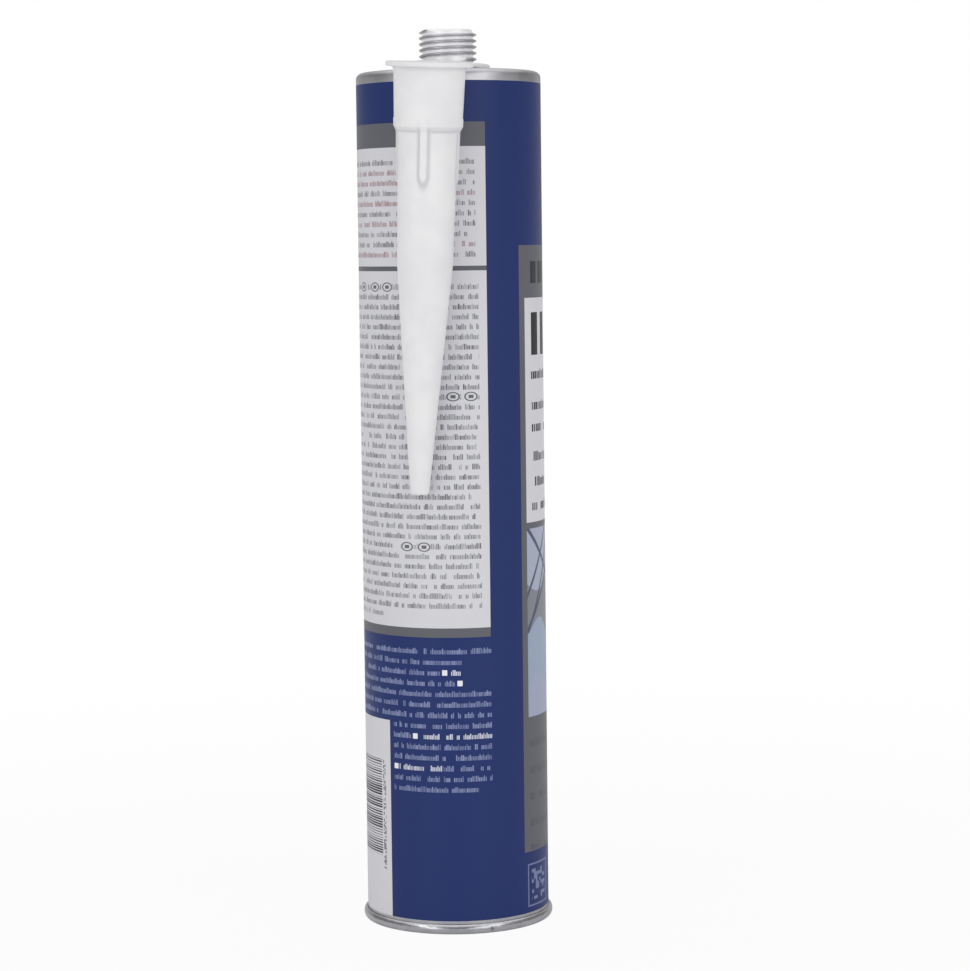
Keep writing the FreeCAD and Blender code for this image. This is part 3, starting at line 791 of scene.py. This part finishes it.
outline += bend((2.1 * MM, nozzle_length - 0.3 * MM), 0.3 * MM, 0, 90, 4)
outline += bend((1.35 * MM, nozzle_length - 0.15 * MM), 0.15 * MM, 90, 180, 3)
outline += run(bore_tip, bore_taper, 8)
outline += run(bore_taper, bore_foot, 4)
outline += run(bore_foot, (socket_radius, socket_depth), 3)
mouth_chamfer = (socket_radius, 0.5 * MM)
outline += run((socket_radius, socket_depth), mouth_chamfer, 84)
outline += [mouth_chamfer, (socket_radius + 0.3 * MM, 0)]
tube_rings = stretch(mesh, [ring(r, level, NOZZLE_COLUMNS) for r, level in outline])
for plate_loop, hole_loop, tube_loop in (
    (plate_rings[0], hole_rings[0], tube_rings[-1]), (plate_rings[-1], hole_rings[-1], tube_rings[0]),
):
    edges = [edge for loop in (plate_loop, hole_loop, tube_loop) for edge in loop_edges(loop)]
    bmesh.ops.triangle_fill(mesh, use_beauty=True, edges=edges)

# Edges across the strap, where it bends
for share in (0.0, 0.5, 1.0):
    everything = mesh.verts[:] + mesh.edges[:] + mesh.faces[:]
    place = (0, strap_bend + bend_run * share, 0)
    bmesh.ops.bisect_plane(mesh, geom=everything, plane_co=place, plane_no=(0, 1, 0))


def level_beyond_bend(point):
    """Where a point of the flat plate lies once the strap has bent level with the shoulder."""
    past = point.y - strap_bend
    if past <= 0:
        return point
    angle = min(past, bend_run) / bend_radius
    out = bend_radius + plate_gauge - point.z
    along = max(0.0, past - bend_run)
    y = strap_bend + out * math.sin(angle) + along * math.cos(angle)
    z = bend_radius + plate_gauge - out * math.cos(angle) + along * math.sin(angle)
    return Vector((point.x, y, z))


for corner in mesh.verts:
    corner.co = level_beyond_bend(corner.co)

# White plastic, cloudy in itself: light goes a little way in, and the mould leaves a soft satin.
# Its colour has painted shade: it is greyer along the ribs' flanks and in a line under the collar's
# step
plastic, tree, shader = new_material("nozzle_plastic")
place = object_place(tree)
haze = cloud(tree, place, 120)
grain = cloud(tree, place, 2400, 2.0)
# Painted shade along the ribs' flanks and under the collar's step, read from the points
painted_rib_shade = tree.nodes.new("ShaderNodeAttribute")
painted_rib_shade.attribute_name = "painted_rib_shade"
milky = blended(tree, haze.rise(0.3, 0.7), srgb(232, 231, 234), srgb(238, 238, 239))
milky = blended(tree, Reading(tree, painted_rib_shade.outputs["Fac"]), milky, srgb(188, 188, 191))
tree.links.new(milky, shader.inputs["Base Color"])
tree.links.new((grain * 0.1 + haze * 0.1 + 0.32).socket, shader.inputs["Roughness"])
shader.inputs["Subsurface Weight"].default_value = 0.15
shader.inputs["Subsurface Radius"].default_value = (1.0, 0.97, 0.93)
shader.inputs["Subsurface Scale"].default_value = 0.8 * MM
relief(tree, shader, grain * 0.5 + haze * 0.5, 0.01 * MM)
nozzle = finished("hung_nozzle", mesh, [plastic], crease=40)

# Its thread, inside the socket, and its ribs, which stand proud of the barrel below the collar
worked(nozzle, thread_tree, {
    "Wall Radius": socket_radius, "Wall Reach": 0.12 * MM, "Depth": -0.85 * thread_depth,
    "Pitch": thread_pitch, "Foot": 1.6 * MM, "First Turn": 0.0, "Last Turn": 6.2,
    "Base": tooth_base, "Land": tooth_land,
}, plastic)
RIB_SIZES = ("Count", "Crest Half Width", "Foot Half Width", "On Collar", "On Barrel", "Start",
             "Collar End", "End", "End Stretch", "Least Radius")
rib_tree, entry, size = new_tree("moulded_ribs", RIB_SIZES)
x, y, z, radius = position_readings(rib_tree)
share = y.step("ARCTAN2", x) / (2 * math.pi) * size["Count"]
off_rib = ((share + 0.5).part() - 0.5).size() / size["Count"] * (2 * math.pi) * radius
beyond = (z - size["End"]).most(0.0) / size["End Stretch"]
off_rib = (off_rib * off_rib + beyond * beyond).step("SQRT")
crown = 1.0 - off_rib.rise(size["Crest Half Width"], size["Foot Half Width"])
past_collar = z.rise(size["Collar End"], size["Collar End"] + 1.2 * MM)
stand = size["On Collar"] + (size["On Barrel"] - size["On Collar"]) * past_collar
begin = z.rise(size["Start"] - 0.3 * MM, size["Start"] + 0.2 * MM)
outside = radius > size["Least Radius"]
# Painted shade: a grey band along each rib's flanks and a line below the collar's step, stored on the
# points
flank = off_rib.rise(size["Crest Half Width"] * 0.7, size["Crest Half Width"] * 1.3)
flank = flank * (1.0 - off_rib.rise(size["Foot Half Width"] * 0.9, size["Foot Half Width"] * 1.5))
flank_shade = flank * begin * (past_collar * 0.42 + 0.08)
off_step = (z - size["Collar End"] - 1.25 * MM).size()
step_shade = (1.0 - off_step.rise(0.1 * MM, 0.5 * MM)) * (1.0 - crown) * 0.5
keep = rib_tree.nodes.new("GeometryNodeStoreNamedAttribute")
keep.data_type, keep.domain = "FLOAT", "POINT"
keep.inputs["Name"].default_value = "painted_rib_shade"
rib_tree.links.new((flank_shade.most(step_shade) * outside).socket, keep.inputs["Value"])
rib_tree.links.new(entry.outputs["Geometry"], keep.inputs["Geometry"])
rib_lift = crown * stand * begin * outside
push_outwards(rib_tree, entry, keep.outputs["Geometry"], x, y, radius, rib_lift, outside)
worked(nozzle, rib_tree, {
    "Count": 4.0, "Crest Half Width": 0.75 * MM, "Foot Half Width": 1.4 * MM,
    "On Collar": 0.16 * MM, "On Barrel": 0.46 * MM, "Start": 13.8 * MM,
    "Collar End": collar_end, "End": 27.2 * MM, "End Stretch": 2.3, "Least Radius": 6.8 * MM,
}, plastic)
nozzle.data.set_sharp_from_angle(angle=math.radians(40))
nozzle.data.transform(hung)
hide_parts("nozzle")
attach(nozzle, "nozzle")

# The camera.
# It stands where a pinhole camera fitted to the photo stands: 0.74 m away and a little above the
# middle, with the tube turned so that its nozzle hangs left of the line of sight.
camera_turn = math.radians(7.26)
camera_distance = 0.73917
camera_height = 0.17523
camera_yaw, camera_pitch, camera_roll = 0.0111865, 0.0841093, -0.0115789
focal_pixels, frame_pixels, sensor_mm = 2848.41, 971, 36.0

forward = Vector((
    math.sin(camera_yaw) * math.cos(camera_pitch),
    math.cos(camera_yaw) * math.cos(camera_pitch),
    -math.sin(camera_pitch),
))
level_right = Vector((math.cos(camera_yaw), -math.sin(camera_yaw), 0))
level_up = level_right.cross(forward)
right = level_right * math.cos(camera_roll) + level_up * math.sin(camera_roll)
upward = level_up * math.cos(camera_roll) - level_right * math.sin(camera_roll)
lens = bpy.data.cameras.new("camera")
lens.sensor_width = sensor_mm
lens.lens = focal_pixels * sensor_mm / frame_pixels
lens.clip_start, lens.clip_end = 0.01, 50
camera = bpy.data.objects.new("camera", lens)
stand = Matrix.Translation((0, -camera_distance, camera_height))
aim = Matrix((right, upward, -forward)).transposed().to_4x4()
camera.matrix_world = Matrix.Rotation(camera_turn, 4, "Z") @ stand @ aim
bpy.context.scene.collection.objects.link(camera)
bpy.context.scene.camera = camera


# The studio.
# Two tall soft boxes stand either side of the camera, which give the metal its two bright
# columns, in a pale room that lights everything evenly. The floor and the backdrop are white.
lamp_distance, lamp_height, lamp_aim = 1.2, 0.35, 0.12
floor_radius = 6.0


def add_softbox(name, turn, width, tall, radiance):
    """An area lamp that faces the tube, turned from the camera's side by turn degrees."""
    lamp = bpy.data.lights.new(name, "AREA")
    lamp.shape = "RECTANGLE"
    lamp.size, lamp.size_y = width, tall
    lamp.energy = radiance * math.pi * width * tall
    around = camera_turn + math.radians(turn)
    across, back = lamp_distance * math.sin(around), -lamp_distance * math.cos(around)
    spot = Vector((across, back, lamp_height))
    box = bpy.data.objects.new(name, lamp)
    facing = (Vector((0, 0, lamp_aim)) - spot).to_track_quat("-Z", "Z")
    box.matrix_world = Matrix.Translation(spot) @ facing.to_matrix().to_4x4()
    bpy.context.scene.collection.objects.link(box)


def ray_readings(tree):
    """Whether the camera sees a place, itself or through a clear piece, and whether gloss does."""
    rays = tree.nodes.new("ShaderNodeLightPath")
    seen = Reading(tree, rays.outputs["Is Camera Ray"])
    through = Reading(tree, rays.outputs["Is Transmission Ray"])
    return seen.most(through), Reading(tree, rays.outputs["Is Glossy Ray"])


add_softbox("left_softbox", -38.0, 0.36, 1.4, 2.0)
add_softbox("right_softbox", 38.0, 0.5, 1.4, 1.4)

world = bpy.data.worlds.new("pale_room")
bpy.context.scene.world = world
world.use_nodes = True
tree = world.node_tree
tree.nodes.clear()
seen, glossy = ray_readings(tree)
direction = split(tree, tree.nodes.new("ShaderNodeTexCoord").outputs["Generated"])
behind = Vector((-math.sin(camera_turn), math.cos(camera_turn), 0))
facing_back = direction[0] * behind.x + direction[1] * behind.y
bright_sides = (facing_back.rise(0.5, 0.9) * 0.35).most(direction[2].rise(0.4, 0.9) * 1.2)
mirrored = bright_sides * 0.78 + 0.22
room_light = glossy * mirrored + (1.0 - glossy) * 0.75
strength = seen + (1.0 - seen) * room_light
background = tree.nodes.new("ShaderNodeBackground")
background.inputs["Color"].default_value = (1, 1, 1, 1)
tree.links.new(strength.socket, background.inputs["Strength"])
out = tree.nodes.new("ShaderNodeOutputWorld")
tree.links.new(background.outputs[0], out.inputs["Surface"])

floor_mesh = bmesh.new()
bmesh.ops.create_circle(floor_mesh, cap_ends=True, segments=96, radius=floor_radius)
floor_data = bpy.data.meshes.new("floor")
floor_mesh.to_mesh(floor_data)
floor_mesh.free()
floor = bpy.data.objects.new("floor", floor_data)
bpy.context.scene.collection.objects.link(floor)
floor_look, tree, shader = new_material("white_floor")
shader.inputs["Base Color"].default_value = (0.82, 0.82, 0.82, 1)
shader.inputs["Roughness"].default_value = 0.9
seen, glossy = ray_readings(tree)
x, y, z = split(tree, object_place(tree))
away = (x * x + y * y).step("SQRT")
white_share = seen * (away.rise(0.04, 0.5) * 0.08 + 0.92) + glossy * away.rise(0.4, 2.0)
glow = tree.nodes.new("ShaderNodeEmission")
mixed = tree.nodes.new("ShaderNodeMixShader")
tree.links.new(white_share.socket, mixed.inputs[0])
tree.links.new(shader.outputs[0], mixed.inputs[1])
tree.links.new(glow.outputs[0], mixed.inputs[2])
tree.links.new(mixed.outputs[0], tree.nodes["Material Output"].inputs["Surface"])
floor_data.materials.append(floor_look)

bpy.context.scene.view_settings.view_transform = "Standard"

bpy.context.view_layer.update()
